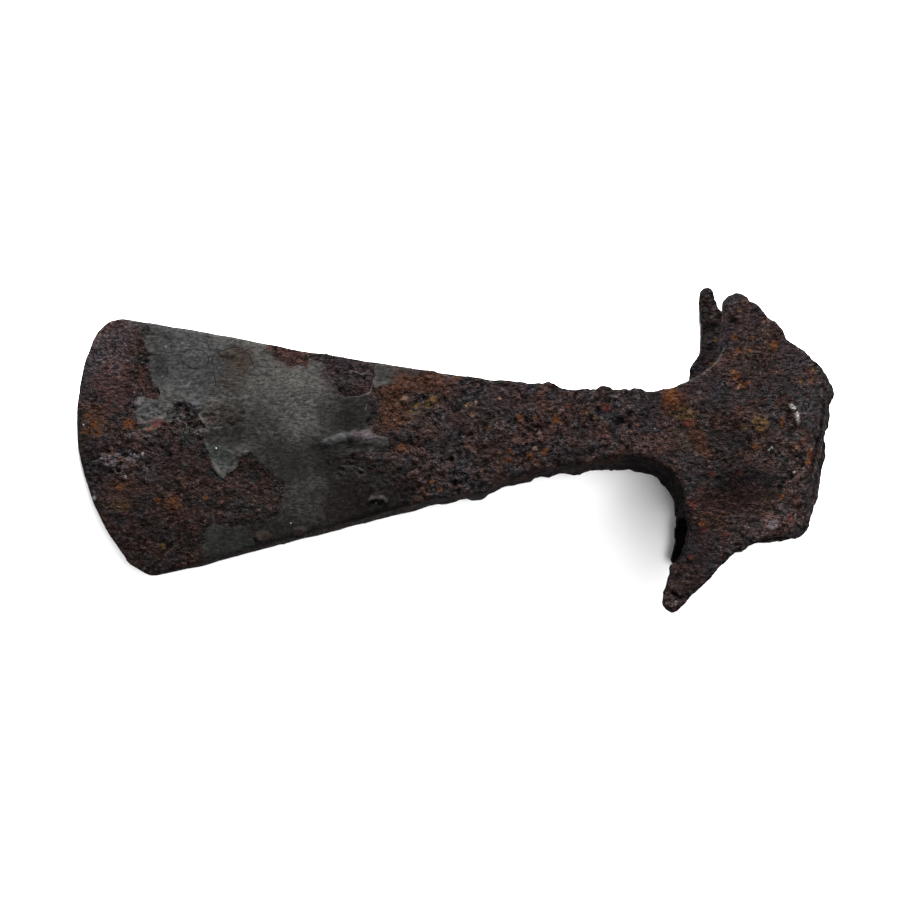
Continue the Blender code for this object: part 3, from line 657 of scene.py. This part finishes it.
def vertex_places(mesh):
    """Each vertex's place and outward direction in the head's own frame."""
    count = len(mesh.vertices)
    places, directions = np.zeros(count * 3), np.zeros(count * 3)
    mesh.vertices.foreach_get("co", places)
    mesh.vertex_normals.foreach_get("vector", directions)
    turn = np.array(HEAD.to_3x3()) / MM
    middle = np.array(HEAD.translation)
    return (places.reshape(-1, 3) - middle) @ turn / MM, directions.reshape(-1, 3) @ turn


def move_vertices(mesh, places):
    world = places @ np.array(HEAD.to_3x3()).T + np.array(HEAD.translation)
    world[:, 2] = np.maximum(world[:, 2], 0.0)
    mesh.vertices.foreach_set("co", world.ravel())
    mesh.update()


def fine_skin():
    """The head's CAD surface as an even fine mesh, with its flat facets smoothed away."""
    head = bpy.data.objects.new(PIECE, frame["nodes"][NODE].data.copy())
    bpy.context.scene.collection.objects.link(head)
    head.data.materials.clear()
    remesh = head.modifiers.new("remesh", "REMESH")
    remesh.mode = "VOXEL"
    remesh.voxel_size = VOXEL * MM
    smooth = head.modifiers.new("smooth", "SMOOTH")
    smooth.factor = SMOOTHING
    smooth.iterations = SMOOTHING_TURNS
    baked(head)
    return head


def across_haft(places, share):
    """Places turned so that X runs along the picture's width, and drawn out that way."""
    turn = np.array(Matrix.Rotation(-SLANT, 3, "Z"))
    return (places @ turn.T) * np.array([share, 1.0, 1.0])


def wandering(places, size, seed, wander):
    """Places shifted by noise, so that cells drawn from them lose their straight edges."""
    return places + layered(places, size, seed, 2)[:, None] * wander


def ragged(points, wander):
    """Points in X and Y, shifted by noise so that what is drawn from them gets a ragged edge."""
    shift = np.stack([layered(points, 4.0, 11), layered(points, 4.0, 12)], axis=1)
    return points[:, :2] + shift * wander


def skin_depth(places, facing):
    """How far a point lies inside the smooth grey skin, in millimetres, negative on the rust."""
    spread = ragged(places, 0.7)
    near = np.minimum(depth_inside(spread, SKIN), -depth_inside(spread, BREAK))
    far = depth_inside(ragged(places, 3.0), FAR_SKIN)
    return np.select([facing > 0.5, facing < -0.5], [near, far], -3.0)


def crust(places):
    """The rust's broad unevenness."""
    size, tall = CRUST
    return layered(places, size, 21) * tall


def lumps(places):
    size, tall = LUMPS
    distance, own = cells(wandering(places, 2.0, 22, 0.4), size, 23)
    return (1 - rise(distance, 0.0, 0.75)) * (own - 0.25) * tall


def scabs(places):
    size, tall = SCABS
    distance, own = cells(wandering(places, 3.0, 26, 0.6), size, 27)
    return (1 - rise(distance, 0.1, 0.5)) * (own > 1 - SCAB_SHARE) * tall


def grain(places):
    size, tall = GRAIN
    return layered(across_haft(places, 0.85), size, 24) * tall


def pits(places):
    size, deep = PITS
    distance, own = cells(wandering(places, 1.5, 28, 0.5), size, 25)
    return -deep * (1 - rise(distance, 0.05, 0.3)) * (own > 1 - PIT_SHARE)


def rust_relief(places):
    return lumps(places) + scabs(places) + grain(places) + pits(places)


def skin_relief(places, depth):
    """The skin's rim, waves and brush marks, for points that lie so deep inside its outline."""
    rim = SKIN_RIM * (1 - rise(np.abs(depth - 0.4), 0.0, 0.6))
    wave_size, wave_height = WAVES
    waves = layered(places, wave_size, 31, 2) * wave_height
    mark_size, mark_height = BRUSH_MARKS
    brushed = layered(across_haft(places, 0.35), mark_size, 32) * mark_height
    return SKIN_RAISED + rim + waves + brushed


def wrinkled(places):
    """How strongly the near cheek is wrinkled."""
    spread = ragged(places, 0.8)
    return np.max([tall * rise(blob(spread, *rest), 0.0, 0.6) for tall, *rest in WRINKLES], axis=0)


def marks(places):
    """Height of the near cheek's own bumps, wrinkles and ridges."""
    spread = ragged(places, 0.25)
    height = np.zeros(len(places))
    for tall, *rest in BUMPS:
        height += tall * rise(blob(spread, *rest), 0.0, 0.5)
    for tall, width, path in RIDGES:
        height += tall * (1 - rise(from_path(spread, path), 0.0, width))
    size, tall = FOLDS
    folds = 0.5 - np.abs(layered(across_haft(places, 0.7), size, 41)) * 2.0
    return height + wrinkled(places) * folds * tall


def knobs(places):
    height = np.zeros(len(places))
    for tall, x, y, radius in KNOBS:
        height += tall * rise(blob(places, x, y, radius, radius), 0.0, 0.9)
    return height


def relief(places, directions):
    """Height of the surface above the CAD's, in millimetres, and the fine part of it.

    It is lower on the edges, and where the head is thin.
    """
    facing = directions[:, 2]
    depth = skin_depth(places, facing)
    skin = rise(depth, -0.15, 0.25)
    side = 1 - rise(np.abs(facing), 0.3, 0.7)
    blade = 1 - rise(places[:, 0], *BLADE_END)
    edge = side * (1 - rise(places[:, 0], *EDGE_END))
    eye = rise(places[:, 0], *EYE_START)
    rusty = (1 - skin) * (0.25 + 0.75 * rise(np.abs(places[:, 2]), 0.6, 2.6))
    rough = rusty * (1 - 0.35 * blade) * (1 - 0.4 * eye) * (1 - 0.45 * side) * (1 - 0.85 * edge)
    fine = rust_relief(places) * rough + marks(places) * rise(facing, 0.0, 0.4)
    broad = crust(places) * rusty * (1 - 0.6 * edge) + skin_relief(places, depth) * skin * (1 - side)
    return fine + broad + knobs(places) * (1 - rise(np.abs(facing), 0.6, 0.95)), fine


def toned(places, facing):
    """How many times lighter than plain each point looks."""
    tone = np.ones(len(places))
    spread = ragged(places, 1.0)
    for times, *rest in TONES:
        tone *= 1 + (times - 1) * rise(blob(spread, *rest), 0.0, 1.0)
    return 1 + (tone**SCREEN_POWER - 1) * rise(facing, 0.0, 0.5)


def stained(places, facing):
    """The colour of the soft stains on the near cheek and how strongly they cover, for each point."""
    shift = ragged(places, 1.0) - places[:, :2]
    near = rise(facing, 0.1, 0.6)
    tint, cover = np.zeros((len(places), 3)), np.zeros(len(places))
    for name, share, x, y, length, width, turn in WASHES:
        spread = places[:, :2] + shift * min(1.5, 0.35 * min(length, width))
        amount = share * near * rise(blob(spread, x, y, length, width, turn), 0.0, 0.6)
        total = amount + cover * (1 - amount)
        weight = np.divide(amount, total, out=np.zeros_like(total), where=total > 0)[:, None]
        tint = tint * (1 - weight) + np.array(colour(name)[:3]) * weight
        cover = total
    return np.column_stack([tint, cover])


def spotted(places, facing):
    """The colour of the nearest spot and how near its middle lies: 0.5 on its rim, and 1 in its middle."""
    tint, best = np.zeros((len(places), 3)), np.zeros(len(places))
    for name, spots in SPOTS.items():
        for x, y, radius in spots:
            value = 1 - np.hypot(places[:, 0] - x, places[:, 1] - y) / (2 * radius)
            closer = value > best
            best = np.where(closer, value, best)
            tint[closer] = colour(name)[:3]
    return np.column_stack([tint, best * (facing > 0.0)])


def painted_shade_amount(places, directions):
    """How far painted shade darkens the iron, up to 1: on its sides, in nooks that get little light and
    inside the far lugs.
    """
    facing = directions[:, 2]
    wall = 1 - rise(facing, 0.5, 0.85)
    nooks = [share * wall * rise(blob(places, *rest), 0.0, soft) for share, soft, *rest in PAINTED_SHADE_NOOKS]
    side = 1 - rise(np.abs(facing), 0.3, 0.7)
    side *= SIDE_PAINTED_SHADE + LOWER_SIDE_PAINTED_SHADE * rise(-directions[:, 1], 0.2, 0.7)
    inside = rise(-places[:, 2], 0.0, 3.0) * rise(facing, 0.2, 0.6)
    inside *= 0.3 + 0.55 * rise(-places[:, 1], -5.0, 5.0)
    return np.max([*nooks, side, inside], axis=0)


def store(mesh, name, values):
    """Keeps a number, or a colour and its alpha, for each vertex."""
    kind, field = ("FLOAT", "value") if values.ndim == 1 else ("FLOAT_COLOR", "color")
    attribute = mesh.attributes.new(name, kind, "POINT")
    attribute.data.foreach_set(field, values.astype(np.float32).ravel())


def thin_out(head, facing):
    """Brings the mesh down to its number of triangles, and keeps the near cheek the finest."""
    weights = head.vertex_groups.new(name="weights")
    near = facing > NEAR_FACING
    for chosen, weight in ((near, NEAR_WEIGHT), (~near, 1.0)):
        weights.add(np.nonzero(chosen)[0].tolist(), weight, "REPLACE")
    thin = head.modifiers.new("thin", "DECIMATE")
    thin.ratio = TRIANGLES / (2 * len(head.data.polygons))
    thin.vertex_group = weights.name
    thin.vertex_group_factor = WEIGHT_STRENGTH
    baked(head)


def store_finish(mesh):
    """Stores what the material needs to know of each vertex."""
    places, directions = vertex_places(mesh)
    facing = directions[:, 2]
    near = facing > NEAR_FACING
    store(mesh, "skin", skin_depth(places, facing))
    store(mesh, "stain", stained(places, facing))
    store(mesh, "spot", spotted(places, facing))
    # Painted shade on walls, nooks, sides and the far lugs' insides.
    store(mesh, "painted_shade", painted_shade_amount(places, directions))
    store(mesh, "tone", toned(places, facing))
    store(mesh, "wrinkle", wrinkled(places) * near)
    for name, lines in (("crack", CRACKS + [(RING_WIDTH, ring())]), ("vein", VEINS)):
        ratio, mask = beside(ragged(places, 0.25), lines)
        store(mesh, name, ratio)
        store(mesh, name + " mask", mask * near)


def corroded_head():
    head = fine_skin()
    places, directions = vertex_places(head.data)
    height, fine = relief(places, directions)
    move_vertices(head.data, places + directions * height[:, None])
    store(head.data, "height", fine)
    thin_out(head, directions[:, 2])
    store_finish(head.data)
    head.data.shade_smooth()
    return head


# Material


class Shader:
    """A material's nodes, added so that a chain of them reads as one expression."""

    def __init__(self, name):
        self.material = bpy.data.materials.new(name)
        self.material.use_nodes = True
        self.nodes = self.material.node_tree.nodes
        self.links = self.material.node_tree.links
        self.surface = self.nodes["Principled BSDF"]
        turn = self.nodes.new("ShaderNodeVectorRotate")
        turn.rotation_type = "Z_AXIS"
        turn.inputs["Angle"].default_value = -SLANT
        self.put(turn.inputs["Vector"], self.nodes.new("ShaderNodeTexCoord").outputs["Object"])
        self.place = self.vector("MULTIPLY", turn.outputs["Vector"], (1 / MM,) * 3)

    def put(self, socket, value):
        if isinstance(value, bpy.types.NodeSocket):
            self.links.new(value, socket)
        elif value is not None:
            socket.default_value = value

    def vector(self, operation, a, b):
        node = self.nodes.new("ShaderNodeVectorMath")
        node.operation = operation
        self.put(node.inputs[0], a)
        self.put(node.inputs[1], b)
        return node.outputs[0]

    def math(self, operation, a, b=None):
        node = self.nodes.new("ShaderNodeMath")
        node.operation = operation
        self.put(node.inputs[0], a)
        self.put(node.inputs[1], b)
        return node.outputs[0]

    def plus(self, a, b):
        return self.math("ADD", a, b)

    def times(self, a, b):
        return self.math("MULTIPLY", a, b)

    def ramp(self, value, low, high, out_low=0.0, out_high=1.0):
        node = self.nodes.new("ShaderNodeMapRange")
        node.interpolation_type = "SMOOTHSTEP"
        names = ("Value", "From Min", "From Max", "To Min", "To Max")
        for name, given in zip(names, (value, low, high, out_low, out_high)):
            self.put(node.inputs[name], given)
        return node.outputs[0]

    def mix(self, a, b, share):
        node = self.nodes.new("ShaderNodeMix")
        node.data_type = "RGBA"
        self.put(node.inputs[0], share)
        self.put(node.inputs[6], a)
        self.put(node.inputs[7], b)
        return node.outputs[2]

    def noise(self, size, detail=3.0, roughness=0.55, share=1.0, shift=0.0):
        """Noise from 0 to 1. A share below 1 draws its features out along the picture's width."""
        node = self.nodes.new("ShaderNodeTexNoise")
        place = self.vector("ADD", self.place, (shift, shift * 0.7, -shift))
        self.put(node.inputs["Vector"], self.vector("MULTIPLY", place, (share, 1.0, 1.0)))
        node.inputs["Scale"].default_value = 1 / size
        node.inputs["Detail"].default_value = detail
        node.inputs["Roughness"].default_value = roughness
        return node.outputs["Fac"]

    def even(self, value, spread):
        """Changes noise from 0 to 1 into a value from 1 - spread to 1 + spread."""
        return self.ramp(value, 0.36, 0.64, 1 - spread, 1 + spread)

    def centred(self, value, width=1.0):
        """Changes a value from 0 to 1 into one from -width / 2 to width / 2."""
        return self.times(self.plus(value, -0.5), width)

    def line(self, name, edge):
        """1 on the lines whose places are stored under a name, broken up a little, and 0 beside them."""
        ratio = self.math("ABSOLUTE", self.attribute(name))
        broken = self.ramp(self.noise(2.5, 2, shift=edge), 0.3, 0.5, 0.3, 1.0)
        there = self.times(self.attribute(name + " mask"), broken)
        return self.times(self.ramp(ratio, 0.5, edge, 1.0, 0.0), there)

    def attribute(self, name, output="Fac"):
        node = self.nodes.new("ShaderNodeAttribute")
        node.attribute_name = name
        return node.outputs[output]


def colour(name):
    """A surface's own colour, from how it looks in the studio's light: the screen's curve undone."""
    looks = (value / 255 for value in COLOURS[name])
    linear = (((c + 0.055) / 1.055) ** 2.4 if c > 0.04045 else c / 12.92 for c in looks)
    return tuple(value / LIGHT_LEVEL for value in linear) + (1.0,)


def rust_colour(shader):
    rust = colour("plain rust")
    for name, size, layers, shift, low, high in RUST_PATCHES:
        patches = shader.noise(size, layers, shift=shift)
        rust = shader.mix(rust, colour(name), shader.ramp(patches, low, high))
    # Painted shade and light: the rust turns towards the pit colour and darker where its fine relief is
    # low, and lighter where it is raised.
    height = shader.attribute("height")
    rust = shader.mix(rust, colour("pit"), shader.ramp(height, -0.15, -0.6))
    return shader.vector("MULTIPLY", rust, shader.ramp(height, -0.4, 0.5, 0.6, 1.4))


def skin_colour(shader):
    grey = shader.mix(colour("dull skin"), colour("bright skin"), shader.noise(7.0, 5, share=0.5))
    grey = shader.mix(grey, colour("brown skin"), shader.ramp(shader.noise(4.0, 4, shift=15.0), 0.55, 0.7))
    patches = shader.ramp(shader.noise(5.0, 3, shift=27.0), 0.45, 0.6)
    dents = shader.ramp(shader.noise(0.8, 3, 0.6, share=0.7, shift=25.0), 0.55, 0.66, 0.0, 0.7)
    return shader.mix(grey, colour("dent"), shader.times(dents, patches))


def rust_texture(shader, cover):
    """The rust's grain and glints, as how many times lighter they are. Stains fill the grain."""
    strength = shader.ramp(shader.noise(8.0, 2, shift=11.0), 0.4, 0.6, 0.55, 0.93)
    strength = shader.times(strength, shader.ramp(cover, 0.0, 1.0, 1.0, 0.5))
    texture = shader.ramp(shader.noise(0.8, 3, 0.85, share=0.7), 0.37, 0.63, -1.0, 1.0)
    texture = shader.plus(shader.times(texture, strength), 1.0)
    glints = shader.ramp(shader.noise(0.6, 2, 0.7, shift=29.0), 0.56, 0.7, 0.0, 1.3)
    return shader.plus(texture, shader.times(glints, texture))


def skin_texture(shader):
    """The skin's brush marks and mottles, as how many times lighter they are."""
    brushed = shader.even(shader.noise(0.4, 2, 0.6, share=0.25, shift=7.0), 0.3)
    mottled = shader.even(shader.noise(0.8, 4, 0.8, share=0.7, shift=8.0), 0.42)
    return shader.times(brushed, mottled)


def creases(shader, shift):
    """Thin crooked lines, 1 along their middles."""
    field = shader.centred(shader.noise(2.0, 3, 0.6, share=0.6, shift=shift))
    return shader.ramp(shader.math("ABSOLUTE", field), 0.0, 0.03, 1.0, 0.0)


def iron_colour(shader, skin):
    """Rust and skin, with stains, texture, spots, creases, lines, tone and painted shade laid over them in
    turn.
    """
    finish = shader.mix(rust_colour(shader), skin_colour(shader), skin)

    most = shader.ramp(skin, 0.0, 1.0, 0.3, 0.8)
    patchy = shader.ramp(shader.noise(1.0, 3, 0.7, shift=19.0), 0.4, 0.6, most)
    cover = shader.times(shader.attribute("stain", "Alpha"), patchy)
    finish = shader.mix(finish, shader.attribute("stain", "Color"), cover)

    texture = shader.mix(rust_texture(shader, cover), skin_texture(shader), skin)
    finish = shader.vector("MULTIPLY", finish, shader.ramp(skin, 0.0, 1.0, 1.0, SKIN_SHADE))
    finish = shader.vector("MULTIPLY", finish, texture)

    ragged_rim = shader.centred(shader.noise(0.7, 3, shift=9.0), 1.1)
    spot = shader.ramp(shader.plus(shader.attribute("spot", "Alpha"), ragged_rim), 0.25, 0.62, 0.0, 0.85)
    spot_grain = shader.even(shader.noise(0.5, 2, 0.7, shift=13.0), 0.4)
    spot_colour = shader.vector("MULTIPLY", shader.attribute("spot", "Color"), spot_grain)
    finish = shader.mix(finish, spot_colour, spot)

    # Painted shadows and painted highlights along the folds: dark and pale crooked lines on wrinkled
    # places.
    wrinkle = shader.attribute("wrinkle")
    for name, shift, share in (("dark", 30.0, 0.7), ("pale", 50.0, 0.35)):
        amount = shader.times(creases(shader, shift), shader.times(wrinkle, share))
        finish = shader.mix(finish, colour(name), amount)
    # Dark cracks and pale veins. One crack is a painted shadow beside a flake, and one vein is a painted
    # highlight on its rim.
    for name, line, edge, share in (("dark", "crack", 1.3, 0.75), ("pale", "vein", 1.6, 0.45)):
        finish = shader.mix(finish, colour(name), shader.times(shader.line(line, edge), share))

    # The tone holds a few painted highlights and shadows. Black painted shade goes last, over walls and
    # nooks that get little light.
    finish = shader.vector("MULTIPLY", finish, shader.attribute("tone"))
    return shader.mix(finish, colour("black"), shader.attribute("painted_shade"))


def corroded_iron():
    shader = Shader(SLOT)
    edge = shader.centred(shader.noise(1.0, 4, 0.7, shift=3.0), 3.0)
    skin = shader.ramp(shader.plus(shader.attribute("skin"), edge), -0.2, 0.25)
    shader.put(shader.surface.inputs["Base Color"], iron_colour(shader, skin))

    shader.surface.inputs["Specular IOR Level"].default_value = GLOSS
    roughness = shader.ramp(skin, 0.0, 1.0, RUST_ROUGHNESS, SKIN_ROUGHNESS)
    spread = shader.ramp(shader.noise(3.0, 3, shift=17.0), 0.35, 0.65, -ROUGHNESS_SPREAD, ROUGHNESS_SPREAD)
    shader.put(shader.surface.inputs["Roughness"], shader.plus(roughness, spread))

    rust_bumps = shader.noise(0.9, 3, 0.6, share=0.8, shift=5.0)
    skin_bumps = shader.noise(0.8, 4, 0.7, share=0.2, shift=6.0)
    bump = shader.nodes.new("ShaderNodeBump")
    bump.inputs["Distance"].default_value = BUMP_HEIGHT
    shader.put(bump.inputs["Strength"], shader.ramp(skin, 0.0, 1.0, 1.0, SKIN_BUMP))
    shader.put(bump.inputs["Height"], shader.mix(rust_bumps, skin_bumps, skin))
    shader.put(shader.surface.inputs["Normal"], bump.outputs["Normal"])
    return shader.material


# Stage, in metres
FLOOR_SIZE = 60.0
FLOOR_COLOUR = (0.95, 0.95, 0.95, 1.0)
FLOOR_ROUGHNESS = 0.9
SKY_COLOUR = (1.0, 1.0, 1.0, 1.0)
SKY_STRENGTH = 0.4

# Softboxes: name, azimuth and elevation in degrees, side and power. All stand at one distance from the
# head.
SOFTBOXES = [
    ("overhead", -35.0, 70.0, 0.75, 11.0),
    ("low", 100.0, 30.0, 0.2, 49.0),
]
SOFTBOX_DISTANCE = 0.95


def plain(name, tint, roughness):
    material = bpy.data.materials.new(name)
    material.use_nodes = True
    surface = material.node_tree.nodes["Principled BSDF"]
    surface.inputs["Base Color"].default_value = tint
    surface.inputs["Roughness"].default_value = roughness
    return material


def set_floor():
    bpy.ops.mesh.primitive_plane_add(size=FLOOR_SIZE)
    floor = bpy.context.object
    floor.name = "floor"
    floor.data.materials.append(plain("pale_floor", FLOOR_COLOUR, FLOOR_ROUGHNESS))


def set_light():
    world = bpy.data.worlds.new("studio")
    world.use_nodes = True
    sky = world.node_tree.nodes["Background"]
    sky.inputs["Color"].default_value = SKY_COLOUR
    sky.inputs["Strength"].default_value = SKY_STRENGTH
    bpy.context.scene.world = world
    for name, azimuth, elevation, side, power in SOFTBOXES:
        lamp = bpy.data.lights.new(name, "AREA")
        lamp.size = side
        lamp.energy = power
        softbox = bpy.data.objects.new(name, lamp)
        turn = Euler((0.0, -math.radians(elevation), math.radians(azimuth)))
        softbox.location = turn.to_matrix() @ Vector((SOFTBOX_DISTANCE, 0.0, 0.0))
        softbox.rotation_euler = softbox.location.to_track_quat("Z", "Y").to_euler()
        bpy.context.scene.collection.objects.link(softbox)


# Viewing: the camera looks down from a little towards the lower lugs. It aims at a point that lies AIM
# along the picture's width from TURN_CENTRE, which is on the head's X axis. Lengths are millimetres again.
TILT = math.radians(9.0)
TURN_CENTRE = 1.5
AIM = -79.0
DISTANCE = 341.0
LENS = 54.0
SENSOR_WIDTH = 36.0
NEAREST_SEEN = 10.0


def set_camera():
    across = Vector((math.cos(SLANT), math.sin(SLANT), 0.0))
    up_page = Vector((-math.sin(SLANT), math.cos(SLANT), 0.0))
    out = Vector((0.0, 0.0, 1.0))
    back = out * math.cos(TILT) - up_page * math.sin(TILT)
    up = up_page * math.cos(TILT) + out * math.sin(TILT)
    eye = Vector((TURN_CENTRE, 0.0, 0.0)) + across * AIM + back * DISTANCE
    lens = bpy.data.cameras.new("camera")
    lens.lens = LENS
    lens.sensor_width = SENSOR_WIDTH
    lens.clip_start = NEAREST_SEEN * MM
    camera = bpy.data.objects.new("camera", lens)
    turn = HEAD.to_3x3().normalized()
    axes = [turn @ axis for axis in (across, up, back)]
    camera.matrix_world = Matrix.Translation(HEAD @ eye) @ Matrix(axes).transposed().to_4x4()
    bpy.context.scene.collection.objects.link(camera)
    bpy.context.scene.camera = camera


head = corroded_head()
head.data.materials.append(corroded_iron())
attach(head, "root")
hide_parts(NODE)
set_floor()
set_light()
set_camera()
bpy.context.scene.view_settings.view_transform = "Standard"
